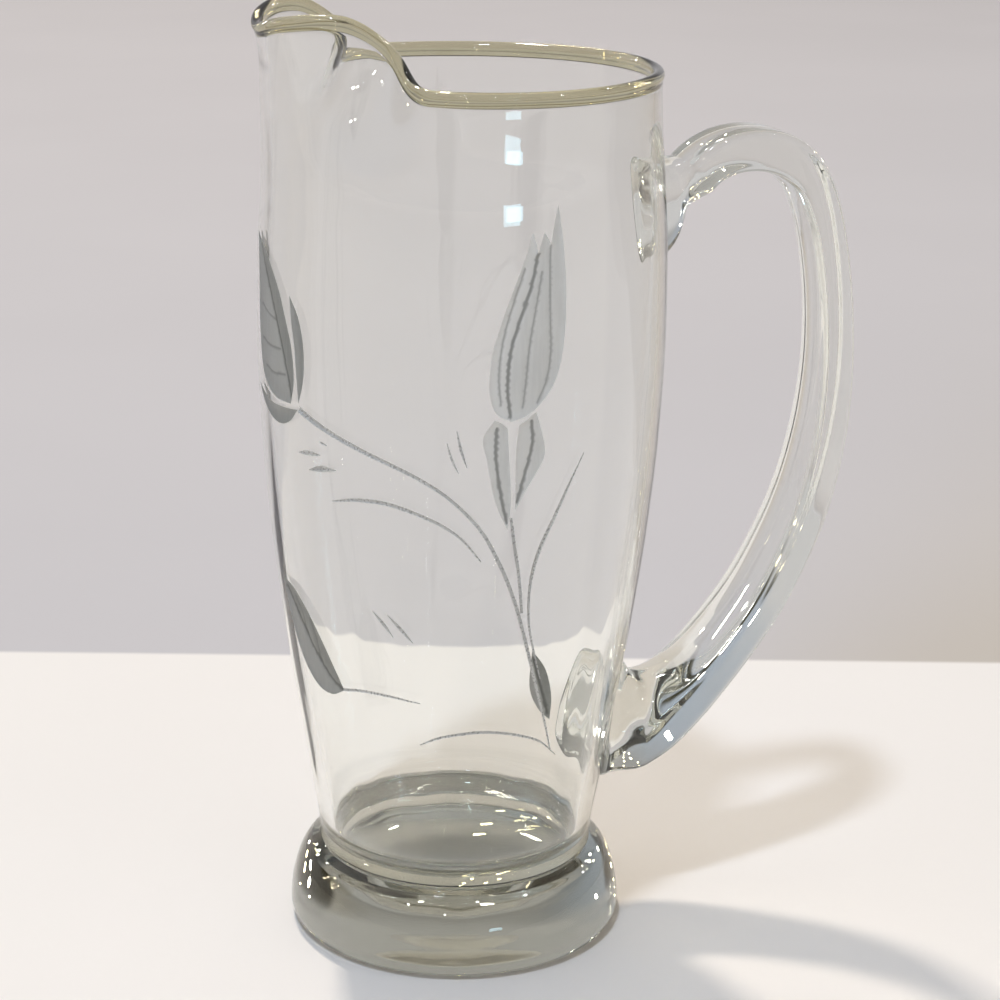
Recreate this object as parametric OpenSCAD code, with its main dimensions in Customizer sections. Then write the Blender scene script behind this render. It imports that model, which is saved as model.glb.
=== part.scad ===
// Glass cocktail pitcher: blown bowl with a pinched pouring lip, solid foot, drawn strap handle.
// Units are millimetres, +Z is up. The origin is the centre of the flat underside of the foot.
// The handle is on +X and the pouring lip on -X.

/* [Bowl] */
// Height of the main rim above the table
rim_height = 235.5; // [210:0.5:260]
// Largest outer diameter of the bowl
bowl_diameter = 107; // [90:1:125]
// Wall thickness at the upper half
wall = 2.4; // [1.8:0.1:3.4]
// Wall thickness just above the bottom
wall_low = 3.8; // [3:0.1:5]
// Radius of the fire-polished bead that runs round the rim
bead_radius = 1.7; // [1.4:0.1:2.2]
// Thickness of the glass at the middle of the bottom
floor_thickness = 6.5; // [5:0.5:9]

/* [Pouring lip] */
// How far the lip stands above the main rim
lip_rise = 14; // [6:0.5:18]
// Depth of the two side pinches that narrow the lip
pinch_depth = 12; // [4:0.5:13]
// Angle of each pinch from the middle of the lip
pinch_angle = 45; // [40:1:52]
// How far the tip of the lip leans out past the neck
lip_lean = 4.4; // [2:0.2:6]

/* [Foot] */
// Largest diameter of the foot
foot_diameter = 91; // [84:1:100]
// Height of the foot where it meets the bowl
foot_height = 23.5; // [22:0.5:26]

/* [Handle] */
// Width of the strap at the top of the finger gap
strap_width = 17; // [14:0.5:20]
// Thickness of the strap, as a share of the drawn one
strap_thickness = 1; // [0.8:0.05:1.2]
// Sides of the strap's section
strap_sides = 32; // [20:4:40]

/* [Hidden] */

glass = [0.86, 0.90, 0.87, 0.45];

// ---- smooth curves through hand-set points ----
// Catmull-Rom value of column c of table t at position u (0 .. len-1)
function cl(i, n) = min(max(i, 0), n - 1);
function cr(a, b, c, d, s) = 0.5 * (2*b + (c - a)*s + (2*a - 5*b + 4*c - d)*s*s + (3*b - a - 3*c + d)*s*s*s);
function at(t, c, u) = let (n = len(t), i = min(max(floor(u), 0), n - 2), s = u - i)
    cr(t[cl(i-1, n)][c], t[i][c], t[i+1][c], t[cl(i+2, n)][c], s);
// Smooth cubic through [z, r] points, slope limited so it never overshoots
function sl(p, i) = (p[i+1][1] - p[i][1]) / (p[i+1][0] - p[i][0]);
function mt(p, i) = i == 0 ? sl(p, 0) : i == len(p)-1 ? sl(p, i-1) :
    let (a = sl(p, i-1), b = sl(p, i)) a*b <= 0 ? 0 : 2*a*b/(a + b);
function seg(p, z, i=0) = i >= len(p)-2 || z < p[i+1][0] ? i : seg(p, z, i+1);
function pc(p, z) = let (i = seg(p, z), h = p[i+1][0]-p[i][0], s = min(max((z - p[i][0])/h, 0), 1))
    (2*s*s*s - 3*s*s + 1)*p[i][1] + (s*s*s - 2*s*s + s)*h*mt(p, i)
    + (3*s*s - 2*s*s*s)*p[i+1][1] + (s*s*s - s*s)*h*mt(p, i+1);
function ss(a, b, x) = let (t = min(max((x - a)/(b - a), 0), 1)) t*t*(3 - 2*t);
function bell(x) = exp(-x*x);

// ---- bowl ----
// Outer profile as [share of rim height, share of largest radius]
shoulder = [[0.09, 0.685], [0.14, 0.715], [0.18, 0.746], [0.235, 0.783], [0.30, 0.830], [0.38, 0.884],
            [0.49, 0.944], [0.60, 0.984], [0.70, 1.0], [0.79, 0.995], [0.87, 0.975], [0.94, 0.949],
            [1.0, 0.940], [1.1, 0.940]];
br = bowl_diameter/2;
seat_r = br*pc(shoulder, foot_height/rim_height);

// Height of the rim at angle a from the middle of the lip
function rim_z(a) = rim_height + lip_rise*(1 - ss(pinch_angle - 14, pinch_angle + 17, abs(a)))
    + 1.4*bell((abs(a) - 28)/10) - 2.6*bell(a/10) - 0.6*pow(sin(a), 2);
// Outer radius at angle a from the lip and height z
function bowl_r(a, z) = let (u = z/rim_height, k = z - rim_height)
    br*pc(shoulder, u)
    - pinch_depth*bell((abs(a) - pinch_angle)/15)*ss(-24, 8, k)
    + 2.4*bell(a/28)*ss(-36, -2, k)
    + (lip_lean - 2.4)*bell(a/15)*ss(0, 13, k);
function pt(a, r, z) = [-r*cos(a), r*sin(a), z];
function bowl_p(a, z) = pt(a, bowl_r(a, z), z);
function unit(v) = v/norm(v);
function bowl_up(a, z) = unit(bowl_p(a, z + 0.2) - bowl_p(a, z - 0.2));
function bowl_n(a, z) = unit(cross(bowl_p(a, z + 0.2) - bowl_p(a, z - 0.2), bowl_p(a + 0.5, z) - bowl_p(a - 0.5, z)));
function wall_at(z) = wall + (wall_low - wall)*(1 - ss(0.14, 0.62, z/rim_height));

rows = 24;
inner_z = foot_height + 7;
floor_z = foot_height - 10 + floor_thickness;
inner_r = br*pc(shoulder, inner_z/rim_height) - wall_low;

// Rows get closer towards the rim
function row_z(i, lo, hi) = lo + (hi - lo)*(1 - pow(1 - i/rows, 1.35));
// One meridian at angle a, from the middle of the underside, over the rim, to the middle of the floor
function meridian(a) = let (top = rim_z(a) - bead_radius, e = top - 2.2, n = bowl_n(a, top), u = bowl_up(a, top),
        c = bowl_p(a, top) - n*wall/2) concat(
    [for (i = [1 : 7]) let (q = 90*i/7) pt(a, seat_r*sin(q), foot_height - 10*cos(q))],
    [for (i = [1 : rows]) bowl_p(a, row_z(i, foot_height, e))],
    [for (q = [-38 : 32 : 218]) c + bead_radius*(cos(q)*n + sin(q)*u)],
    [for (i = [rows : -1 : 0]) let (z = row_z(i, inner_z, e)) bowl_p(a, z) - wall_at(z)*bowl_n(a, z)],
    [for (i = [6 : -1 : 1]) let (q = 90*i/7) pt(a, inner_r*sin(q), inner_z - (inner_z - floor_z)*cos(q))]);
// Meridians stand closer together round the lip
turns = concat([for (a = [-180 : 6 : -78]) a], [for (a = [-72 : 4 : 68]) a], [for (a = [72 : 6 : 174]) a]);
sides = len(turns);
skin = [for (a = turns) meridian(a)];
m = len(skin[0]);
bowl_pts = concat([for (s = skin) each s], [[0, 0, foot_height - 10]], [[0, 0, floor_z]]);
bowl_faces = concat(
    [for (j = [0 : sides-1], i = [0 : m-2], k = [0, 1]) let (p = j*m + i, q = ((j+1) % sides)*m + i)
        k == 0 ? [p, q, q+1] : [p, q+1, p+1]],
    [for (j = [0 : sides-1]) [sides*m, ((j+1) % sides)*m, j*m]],
    [for (j = [0 : sides-1]) [sides*m + 1, j*m + m - 1, ((j+1) % sides)*m + m - 1]]);

module bowl() {
    color(glass) polyhedron(points = bowl_pts, faces = bowl_faces, convexity = 6);
}

// ---- foot ----
// Outer profile as [share of height, share of radius], from the flat underside to the seam
cushion = [[0, 0.930], [0.05, 0.976], [0.19, 1.0], [0.38, 0.994], [0.55, 0.976], [0.72, 0.948], [0.85, 0.910], [0.94, 0.868]];
foot_r = foot_diameter/2;
foot_side = [for (i = [0 : 18]) let (u = 0.94*i/18) [foot_r*pc(cushion, u), u*foot_height]];
foot_seat = [for (i = [14 : -1 : 0]) let (q = 90*i/14) [seat_r*sin(q), foot_height - 10*cos(q)]];

module foot() {
    color(glass) rotate_extrude($fn = 128)
        polygon(concat([[0, 0]], foot_side, foot_seat));
}

// ---- handle ----
// Rings that lie against the bowl: [gap from the bowl, height, thickness, width, tail or crown, squareness]
low_root = [[0, 46.5, 14.5, 30.5, 17, 0.6], [1.2, 46.5, 14.4, 29.8, 16.4, 0.57], [3, 46.8, 14.2, 29, 15.2, 0.54]];
top_root = [[7.6, 203.8, 11, 17.6, 3.2, 0.56], [7, 203.5, 11.6, 17.8, 6, 0.62], [5.7, 203, 12.4, 18.2, 9.6, 0.7],
            [3.5, 202.6, 13, 18.6, 12, 0.78], [1.2, 202.4, 13.4, 19, 13.2, 0.8], [0, 202.4, 13.8, 19.6, 13.8, 0.8]];
// Strap from the lower to the upper root: [x, z, heading, thickness, width, crown]
strap = [[50, 47.8, 4, 14, 28.4, 13.4], [56.5, 51.1, 20, 12.8, 27, 9], [64.1, 57.8, 37, 11.2, 26.2, 4.8],
         [71.1, 64.9, 46, 10, 25.4, 2.2], [79.7, 75.3, 54, 9.5, 24.6, 1.2], [87.9, 87.2, 61, 9.4, 23.8, 0.9],
         [94.9, 101, 68, 9.4, 22.8, 0.8], [99.2, 112, 72, 9.4, 22, 0.7], [102.1, 122.5, 77, 9.3, 21, 0.7],
         [104.2, 134, 82, 9.2, 20, 0.6], [105.3, 146, 87, 9, 18.8, 0.6], [105.4, 158, 92, 8.8, 17.8, 0.6],
         [104.4, 171.5, 96, 8.7, 17.2, 0.6], [102.1, 185.5, 102, 8.7, 17, 0.6], [99.2, 195.8, 114, 9.2, 17, 0.6],
         [95, 204.1, 132, 10, 17, 0.6], [88, 209.6, 158, 11, 17, 0.6], [80, 211.6, 177, 11, 17, 0.6],
         [72.4, 210.9, 193, 10.8, 17, 0.7], [66.8, 208.6, 209, 10.6, 17.2, 1.1], [63.4, 205.9, 220, 10.4, 17.4, 1.6]];
wk = strap_width/17;
// Rounded strap section: q runs round it, b is across the strap, n is towards the finger gap
function pw(x, e) = sign(x)*pow(abs(x), e);
function sec(q, t, w, c, e) = let (b = 0.5*w*wk*pw(cos(q), e), n = 0.5*t*strap_thickness*pw(sin(q), e),
        k = min(1, abs(2*b/(w*wk))))
    [b, n + c*pow(1 - k*k, 0.8)*ss(-0.2, 1, sin(q))];
quarter = 360/strap_sides;
// A ring that follows the bowl's wall; down is 1 for the upper root and -1 for the lower one
function root_ring(r, down, f=1) = [for (i = [0 : strap_sides-1]) let (s = sec(i*quarter, r[2], r[3], r[4], r[5]),
        z = r[1] - down*s[1]*f, b = s[0]*f, a = 180 - asin(b/(bowl_r(180, z) + r[0])), w = bowl_p(a, z))
    w + r[0]*[1, 0, 0]];
// Squareness along the strap: tight corners, softer where it runs into the roots
function soft(u) = 0.34 + 0.18*(1 - ss(0, 3, u)) + 0.2*ss(16.5, 20, u);
function strap_ring(u) = let (x = at(strap, 0, u), z = at(strap, 1, u), h = at(strap, 2, u))
    [for (i = [0 : strap_sides-1]) let (s = sec(i*quarter, at(strap, 3, u), at(strap, 4, u), at(strap, 5, u), soft(u)))
        [x - s[1]*sin(h), s[0], z + s[1]*cos(h)]];
// Inner rings close each end on the bowl's wall
cap = [0.25, 0.5, 0.75];
rings = concat(
    [for (f = cap) root_ring(low_root[0], -1, f)],
    [for (r = low_root) root_ring(r, -1)],
    [for (i = [0 : 2*(len(strap)-1)]) strap_ring(i/2)],
    [for (r = top_root) root_ring(r, 1)],
    [for (f = [0.75, 0.5, 0.25]) root_ring(top_root[5], 1, f)]);
nr = len(rings);
ends = [bowl_p(180, low_root[0][1]), bowl_p(180, top_root[5][1])];
handle_pts = concat([for (r = rings) each r], ends);
handle_faces = concat(
    [for (j = [0 : nr-2], i = [0 : strap_sides-1], k = [0, 1]) let (p = j*strap_sides, q = (i+1) % strap_sides)
        k == 0 ? [p+i, p+strap_sides+q, p+q] : [p+i, p+strap_sides+i, p+strap_sides+q]],
    [for (i = [0 : strap_sides-1]) [nr*strap_sides, i, (i+1) % strap_sides]],
    [for (i = [0 : strap_sides-1]) [nr*strap_sides + 1, (nr-1)*strap_sides + (i+1) % strap_sides, (nr-1)*strap_sides + i]]);

module handle() {
    color(glass) polyhedron(points = handle_pts, faces = handle_faces, convexity = 6);
}

bowl();
foot();
handle();
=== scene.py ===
import math
import bpy
import numpy as np
from mathutils import Vector, Matrix
from mathutils.geometry import delaunay_2d_cdt


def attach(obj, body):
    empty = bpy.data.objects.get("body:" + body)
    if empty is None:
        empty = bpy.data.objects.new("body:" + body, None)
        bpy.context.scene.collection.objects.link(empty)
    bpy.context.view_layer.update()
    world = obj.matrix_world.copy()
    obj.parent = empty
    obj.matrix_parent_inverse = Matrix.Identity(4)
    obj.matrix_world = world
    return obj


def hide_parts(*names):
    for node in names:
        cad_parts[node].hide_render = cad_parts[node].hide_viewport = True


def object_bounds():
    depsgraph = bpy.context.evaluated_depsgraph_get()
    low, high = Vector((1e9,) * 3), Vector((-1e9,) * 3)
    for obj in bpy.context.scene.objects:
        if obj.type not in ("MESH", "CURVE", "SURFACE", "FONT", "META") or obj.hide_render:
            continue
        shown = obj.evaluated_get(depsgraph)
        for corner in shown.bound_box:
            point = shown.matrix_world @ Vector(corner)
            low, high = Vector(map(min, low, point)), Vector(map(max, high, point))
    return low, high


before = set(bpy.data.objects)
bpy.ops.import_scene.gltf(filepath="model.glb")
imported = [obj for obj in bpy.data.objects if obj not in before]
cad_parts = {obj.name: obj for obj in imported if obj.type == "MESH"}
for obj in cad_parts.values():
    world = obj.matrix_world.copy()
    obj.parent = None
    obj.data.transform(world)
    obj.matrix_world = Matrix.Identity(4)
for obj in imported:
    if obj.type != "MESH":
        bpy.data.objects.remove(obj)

CAD_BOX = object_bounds()
MM = 0.001

# ------------------------------------------------------------------ shape functions, in millimetres
RIM, BR, WALL, WALL_LOW, BEAD, FLOOR_T = 235.5, 53.5, 2.4, 3.8, 1.7, 6.5
LIP_RISE, PINCH_D, PINCH_A, LIP_LEAN = 14.0, 12.0, 45.0, 4.4
FOOT_R, FOOT_H = 45.5, 23.5
FUSE = 0.25              # how far fused pieces reach into each other

SHOULDER = [(0.09, 0.685), (0.14, 0.715), (0.18, 0.746), (0.235, 0.783), (0.30, 0.830), (0.38, 0.884),
            (0.49, 0.944), (0.60, 0.984), (0.70, 1.0), (0.79, 0.995), (0.87, 0.975), (0.94, 0.949),
            (1.0, 0.940), (1.1, 0.940)]
CUSHION = [(0, 0.930), (0.05, 0.976), (0.19, 1.0), (0.38, 0.994), (0.55, 0.976), (0.72, 0.948), (0.85, 0.910), (0.94, 0.868)]


def pc(table, z):
    """Smooth monotone curve through the table's points."""
    x = np.array([q[0] for q in table], float)
    y = np.array([q[1] for q in table], float)
    h = np.diff(x)
    s = np.diff(y) / h
    m = np.zeros(len(x))
    m[0], m[-1] = s[0], s[-1]
    for k in range(1, len(x) - 1):
        m[k] = 0 if s[k - 1] * s[k] <= 0 else 2 * s[k - 1] * s[k] / (s[k - 1] + s[k])
    z = np.asarray(z, float)
    i = np.clip(np.searchsorted(x, z, side="right") - 1, 0, len(h) - 1)
    t = np.clip((z - x[i]) / h[i], 0, 1)
    return ((2 * t**3 - 3 * t**2 + 1) * y[i] + (t**3 - 2 * t**2 + t) * h[i] * m[i]
            + (3 * t**2 - 2 * t**3) * y[i + 1] + (t**3 - t**2) * h[i] * m[i + 1])


def ss(a, b, x):
    t = np.clip((np.asarray(x, float) - a) / (b - a), 0, 1)
    return t * t * (3 - 2 * t)


def bell(x):
    return np.exp(-np.asarray(x, float) ** 2)


def rim_z(a):
    a = np.asarray(a, float)
    return (RIM + LIP_RISE * (1 - ss(PINCH_A - 14, PINCH_A + 17, np.abs(a))) + 1.4 * bell((np.abs(a) - 28) / 10)
            - 2.6 * bell(a / 10) - 0.6 * np.sin(np.radians(a)) ** 2)


def bowl_r(a, z):
    a = (np.asarray(a, float) + 180) % 360 - 180
    k = np.asarray(z, float) - RIM
    return (BR * pc(SHOULDER, np.asarray(z, float) / RIM) - PINCH_D * bell((np.abs(a) - PINCH_A) / 15) * ss(-24, 8, k)
            + 2.4 * bell(a / 28) * ss(-36, -2, k) + (LIP_LEAN - 2.4) * bell(a / 15) * ss(0, 13, k))


def pt(a, r, z):
    a, r, z = np.broadcast_arrays(np.asarray(a, float), np.asarray(r, float), np.asarray(z, float))
    c = np.radians(a)
    return np.stack([-r * np.cos(c), r * np.sin(c), z], -1)


def bowl_p(a, z):
    return pt(a, bowl_r(a, z), z)


def unit(v):
    return v / np.linalg.norm(v, axis=-1, keepdims=True)


def bowl_up(a, z):
    return unit(bowl_p(a, z + 0.2) - bowl_p(a, z - 0.2))


def bowl_n(a, z):
    return unit(np.cross(bowl_p(a, z + 0.2) - bowl_p(a, z - 0.2), bowl_p(a + 0.5, z) - bowl_p(a - 0.5, z)))


def wall_at(z):
    return WALL + (WALL_LOW - WALL) * (1 - ss(0.14, 0.62, np.asarray(z, float) / RIM))


def smooth_line(points, step):
    """Catmull-Rom curve through 2-D points, in the unwrapped plane, with a point about every step mm."""
    p = np.array(points, float)
    if len(p) == 2:
        n = max(2, int(np.ceil(np.linalg.norm(p[1] - p[0]) / step)) + 1)
        t = np.linspace(0, 1, n)[:, None]
        return p[0] * (1 - t) + p[1] * t
    q = np.vstack([2 * p[0] - p[1], p, 2 * p[-1] - p[-2]])
    out = []
    for i in range(1, len(q) - 2):
        t = np.linspace(0, 1, 24, endpoint=False)[:, None]
        a, b, c, d = q[i - 1], q[i], q[i + 1], q[i + 2]
        out.append(0.5 * (2 * b + (c - a) * t + (2 * a - 5 * b + 4 * c - d) * t**2 + (3 * b - a - 3 * c + d) * t**3))
    c = np.vstack(out + [p[-1:]])
    s = np.r_[0, np.cumsum(np.linalg.norm(np.diff(c, axis=0), axis=1))]
    n = max(2, int(round(s[-1] / step)) + 1)
    u = np.linspace(0, s[-1], n)
    return np.stack([np.interp(u, s, c[:, k]) for k in range(c.shape[1])], -1)


# ------------------------------------------------------------------ helpers for meshes
def make_mesh(name, verts_mm, faces, mats, face_mat=None, normals=None, marks=None):
    """A closed mesh from millimetre points. normals is one vector per face corner, or None for plain smooth shading."""
    me = bpy.data.meshes.new(name)
    # the finer mesh stays inside the CAD box, to the last hundredth
    me.from_pydata(np.clip(np.asarray(verts_mm) * MM, CAD_BOX[0], CAD_BOX[1]).tolist(), [], faces)
    me.update()
    for m in mats:
        me.materials.append(m)
    me.polygons.foreach_set("use_smooth", [True] * len(me.polygons))
    if face_mat is not None:
        me.polygons.foreach_set("material_index", np.asarray(face_mat, np.int32))
    for key, v in (marks or {}).items():
        me.attributes.new(key, "FLOAT", "POINT").data.foreach_set("value", np.asarray(v, np.float32))
    if normals is not None:
        me.normals_split_custom_set(normals.tolist())
    ob = bpy.data.objects.new(name, me)
    bpy.context.scene.collection.objects.link(ob)
    return ob


def ring_faces(rings, flip=False):
    """Quads between rings of vertex numbers, outward when the rings run up the outside and down the inside."""
    out = []
    for lo, up in zip(rings[:-1], rings[1:]):
        n = len(lo)
        for i in range(n):
            j = (i + 1) % n
            f = (lo[i], up[i], up[j], lo[j])
            out.append(f[::-1] if flip else f)
    return out


def face_normals(V, faces):
    """Area-weighted normal of each face (first three corners, or the diagonals of a quad)."""
    n = np.zeros((len(faces), 3))
    tri = [i for i, f in enumerate(faces) if len(f) == 3]
    quad = [i for i, f in enumerate(faces) if len(f) == 4]
    if tri:
        t = np.array([faces[i] for i in tri])
        n[tri] = np.cross(V[t[:, 1]] - V[t[:, 0]], V[t[:, 2]] - V[t[:, 0]]) / 2
    if quad:
        q = np.array([faces[i] for i in quad])
        n[quad] = np.cross(V[q[:, 2]] - V[q[:, 0]], V[q[:, 3]] - V[q[:, 1]]) / 2
    return n


# ------------------------------------------------------------------ the cut spray on the bowl
KS = 0.925               # millimetres of surface per degree, where the spray is

# Regions: corners join smooth sides; each side is a list of (angle from the lip, height)
REGIONS = [
    # side bud: large petal
    dict(sides=[[(6.7, 193.6), (4.2, 186), (3.0, 178), (1.9, 170), (-0.9, 160), (-5.4, 155.6), (-11.5, 153.6), (-19.6, 153.6)],
                [(-19.6, 153.6), (-21.4, 160), (-20.4, 168), (-17.3, 175.2), (-12.6, 182.9), (-4.6, 189.6), (6.7, 193.6)]],
         ribs=[[(4.6, 191.8), (-1.2, 186.4), (-7.6, 179.2), (-13.0, 170.5), (-17.2, 161.5), (-19.4, 155.0)],
               [(1.0, 175.8), (-4.5, 174.4), (-10.4, 173.6)], [(-0.2, 167.0), (-6.5, 166.2), (-13.6, 166.6)],
               [(-3.2, 160.3), (-9.0, 159.6), (-16.2, 160.4)]]),
    # side bud: narrow petal behind it
    dict(sides=[[(-19.2, 181.5), (-23.4, 176.5), (-25.7, 169.2), (-25.6, 161.0), (-23.2, 154.2)],
                [(-23.2, 154.2), (-22.6, 161.0), (-21.8, 168.4), (-20.2, 175.0), (-19.2, 181.5)]], ribs=[]),
    # side bud: low sepal
    dict(sides=[[(4.2, 154.4), (-1.8, 149.9), (-8.0, 147.6), (-14.0, 147.2), (-19.2, 149.2), (-22.6, 152.6)],
                [(-22.6, 152.6), (-15.6, 152.0), (-7.0, 151.9), (4.2, 154.4)]], ribs=[]),
    # tall bud: three petals
    dict(pale=0.75, sides=[[(-91.6, 201.6), (-89.7, 196.0), (-86.6, 188.4), (-83.2, 179.6), (-80.9, 171.6), (-80.4, 163.2), (-82.3, 157.4), (-86.4, 155.2)],
                [(-86.4, 155.2), (-90.8, 156.6), (-94.6, 159.6), (-98.2, 164.4), (-100.2, 170.6), (-101.1, 178), (-101.2, 187), (-100.5, 197.6), (-99.0, 208.2)],
                [(-99.0, 208.2), (-97.6, 202.6), (-96.8, 198.4)], [(-96.8, 198.4), (-95.9, 200.2), (-94.9, 201.6)],
                [(-94.9, 201.6), (-94.0, 199.0), (-93.2, 196.4)], [(-93.2, 196.4), (-92.6, 199.0), (-91.6, 201.6)]],
         ribs=[[(-93.2, 196.4), (-91.4, 188.6), (-88.4, 180.4), (-86.1, 173.0), (-85.3, 164.2), (-86.2, 156.4)],
               [(-96.8, 198.4), (-96.7, 190.0), (-96.9, 180.6), (-97.2, 172.6), (-96.2, 165.4), (-93.6, 159.6)],
               [(-89.6, 193.0), (-86.5, 184.6), (-84.0, 176.0), (-82.9, 167.0), (-83.6, 159.4)],
               [(-94.4, 192.0), (-92.8, 183.4), (-91.2, 174.4), (-90.4, 166.0), (-89.6, 158.6)]]),
    # tall bud: sepals and stalk leaf
    dict(pale=0.65, sides=[[(-81.9, 155.6), (-79.0, 151.0), (-80.3, 144.6), (-82.6, 134.6), (-86.4, 126.8)],
                [(-86.4, 126.8), (-87.0, 134.0), (-86.3, 144.0), (-85.4, 153.6)], [(-85.4, 153.6), (-83.6, 155.0), (-81.9, 155.6)]],
         ribs=[[(-82.6, 153.4), (-82.6, 146.0), (-84.3, 136.0), (-86.2, 128.6)]]),
    dict(pale=0.65, sides=[[(-93.2, 157.4), (-95.0, 152.0), (-96.2, 146.2), (-93.6, 141.0), (-90.6, 136.4), (-88.3, 131.8)],
                [(-88.3, 131.8), (-88.1, 140.0), (-88.0, 148.0), (-88.6, 154.2)], [(-88.6, 154.2), (-90.8, 155.6), (-93.2, 157.4)]],
         ribs=[[(-92.2, 155.0), (-92.6, 148.6), (-90.6, 140.6), (-88.8, 134.2)]]),
    # low leaf
    dict(sides=[[(-3.6, 103.2), (-12.0, 102.0), (-19.0, 97.4), (-25.4, 90.0), (-30.2, 82.8), (-33.2, 77.8)],
                [(-33.2, 77.8), (-27.0, 75.4), (-19.6, 76.4), (-12.6, 81.6), (-7.4, 90.4), (-3.6, 103.2)]],
         ribs=[[(-5.6, 100.6), (-12.6, 94.2), (-20.4, 85.8), (-27.4, 79.8), (-32.2, 77.8)],
               [(-11.6, 99.4), (-14.8, 95.4), (-16.6, 90.4)], [(-19.2, 95.0), (-21.4, 90.0), (-22.8, 83.6)]]),
    # small low leaf on the far branch
    dict(sides=[[(-96.4, 92.8), (-101.8, 86.6), (-105.2, 78.4), (-105.6, 71.4)],
                [(-105.6, 71.4), (-100.4, 75.6), (-96.6, 82.4), (-96.4, 92.8)]],
         ribs=[[(-97.2, 90.6), (-100.6, 82.4), (-104.8, 73.4)]]),
]
# Stems and strokes: (angle, height, half width in mm)
STEMS = [
    dict(p=[(-23.0, 153.0, 0.95), (-29.6, 150.8, 0.85), (-35.3, 149.0, 0.75), (-45.1, 146.0, 0.65), (-54.0, 143.2, 0.55), (-62.6, 139.8, 0.5),
            (-70.6, 135.0, 0.45), (-78.7, 127.2, 0.45), (-84.6, 117.6, 0.5), (-89.6, 107.0, 0.5), (-95.9, 90.1, 0.5), (-101.8, 75.6, 0.42), (-107.7, 62.0, 0.25)], fine=False),
    dict(p=[(-87.2, 130.0, 0.4), (-88.6, 122.6, 0.45), (-90.4, 114.0, 0.45), (-92.0, 103.6, 0.4)], fine=False),
    dict(p=[(-35.0, 131.0, 0.18), (-44.0, 132.7, 0.5), (-53.7, 132.7, 0.55), (-64.9, 129.6, 0.45), (-73.0, 125.2, 0.35), (-79.2, 118.6, 0.2)], fine=True),
    dict(p=[(-108.6, 145.2, 0.12), (-104.3, 137.5, 0.35), (-100.1, 129.0, 0.5), (-96.6, 121.8, 0.55), (-94.6, 115.4, 0.5), (-93.9, 108.7, 0.4), (-94.6, 100.2, 0.35),
            (-97.0, 92.3, 0.3), (-100.5, 83.8, 0.15)], fine=True),
    dict(p=[(-32.6, 78.0, 0.45), (-41.0, 79.2, 0.4), (-51.0, 79.2, 0.35), (-61.1, 78.2, 0.15)], fine=True),
    dict(p=[(-60.6, 66.0, 0.15), (-67.0, 68.4, 0.35), (-74.2, 69.7, 0.42), (-81.0, 70.2, 0.42), (-87.6, 69.7, 0.4), (-95.6, 68.0, 0.35), (-102.8, 65.4, 0.3), (-110.3, 60.2, 0.12)], fine=True),
    dict(p=[(-22.2, 141.4, 0.12), (-26.6, 142.1, 0.75), (-31.4, 142.4, 0.12)], fine=True),
    dict(p=[(-26.4, 137.6, 0.12), (-31.6, 138.9, 0.9), (-37.0, 139.4, 0.12)], fine=True),
    dict(p=[(-31.2, 145.9, 0.15), (-32.6, 145.7, 0.35), (-34.0, 145.4, 0.1)], fine=True),
    dict(p=[(-46.8, 103.0, 0.1), (-50.2, 99.8, 0.5), (-53.2, 96.4, 0.1)], fine=True),
    dict(p=[(-51.6, 102.6, 0.1), (-55.6, 99.0, 0.5), (-59.4, 95.4, 0.1)], fine=True),
    dict(p=[(-72.0, 153.0, 0.1), (-73.2, 148.0, 0.35), (-74.8, 143.6, 0.1)], fine=True),
    dict(p=[(-69.4, 149.8, 0.1), (-70.8, 145.6, 0.3), (-72.6, 142.0, 0.1)], fine=True),
]


def flat(p):
    """(angle, height) to the unwrapped plane."""
    return [(q[0] * KS,) + tuple(q[1:]) for q in p]


def build_spray():
    regions, stems = [], []
    for f in (flat,):
        for r in REGIONS:
            loop = []
            for s in r["sides"]:
                c = smooth_line(f(s), 0.75)
                loop.extend(c[:-1])
            ribs = [smooth_line(f(b), 0.8) for b in r["ribs"]]
            regions.append(dict(loop=np.array(loop), ribs=ribs, pale=r.get("pale", 0.2), flank=r.get("flank", 0.2)))
        for s in STEMS:
            c = smooth_line(f(s["p"]), 1.0)
            d = np.gradient(c[:, :2], axis=0)
            d /= np.linalg.norm(d, axis=1, keepdims=True)
            nrm = np.stack([-d[:, 1], d[:, 0]], -1)
            w = c[:, 2:3]
            stems.append(dict(mid=c[:, :2], w=c[:, 2], left=c[:, :2] + nrm * w, right=c[:, :2] - nrm * w, fine=s["fine"]))
    return regions, stems


def inside(poly, P):
    """Even-odd test of points P against a closed polygon."""
    res = np.zeros(len(P), bool)
    lo, hi = poly.min(0), poly.max(0)
    cand = np.where((P[:, 0] > lo[0]) & (P[:, 0] < hi[0]) & (P[:, 1] > lo[1]) & (P[:, 1] < hi[1]))[0]
    if len(cand) == 0:
        return res
    x, y = P[cand, 0], P[cand, 1]
    c = np.zeros(len(cand), bool)
    q = np.roll(poly, -1, axis=0)
    for (x1, y1), (x2, y2) in zip(poly, q):
        if y1 == y2:
            continue
        m = ((y1 > y) != (y2 > y)) & (x < (x2 - x1) * (y - y1) / (y2 - y1) + x1)
        c ^= m
    res[cand] = c
    return res


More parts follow.
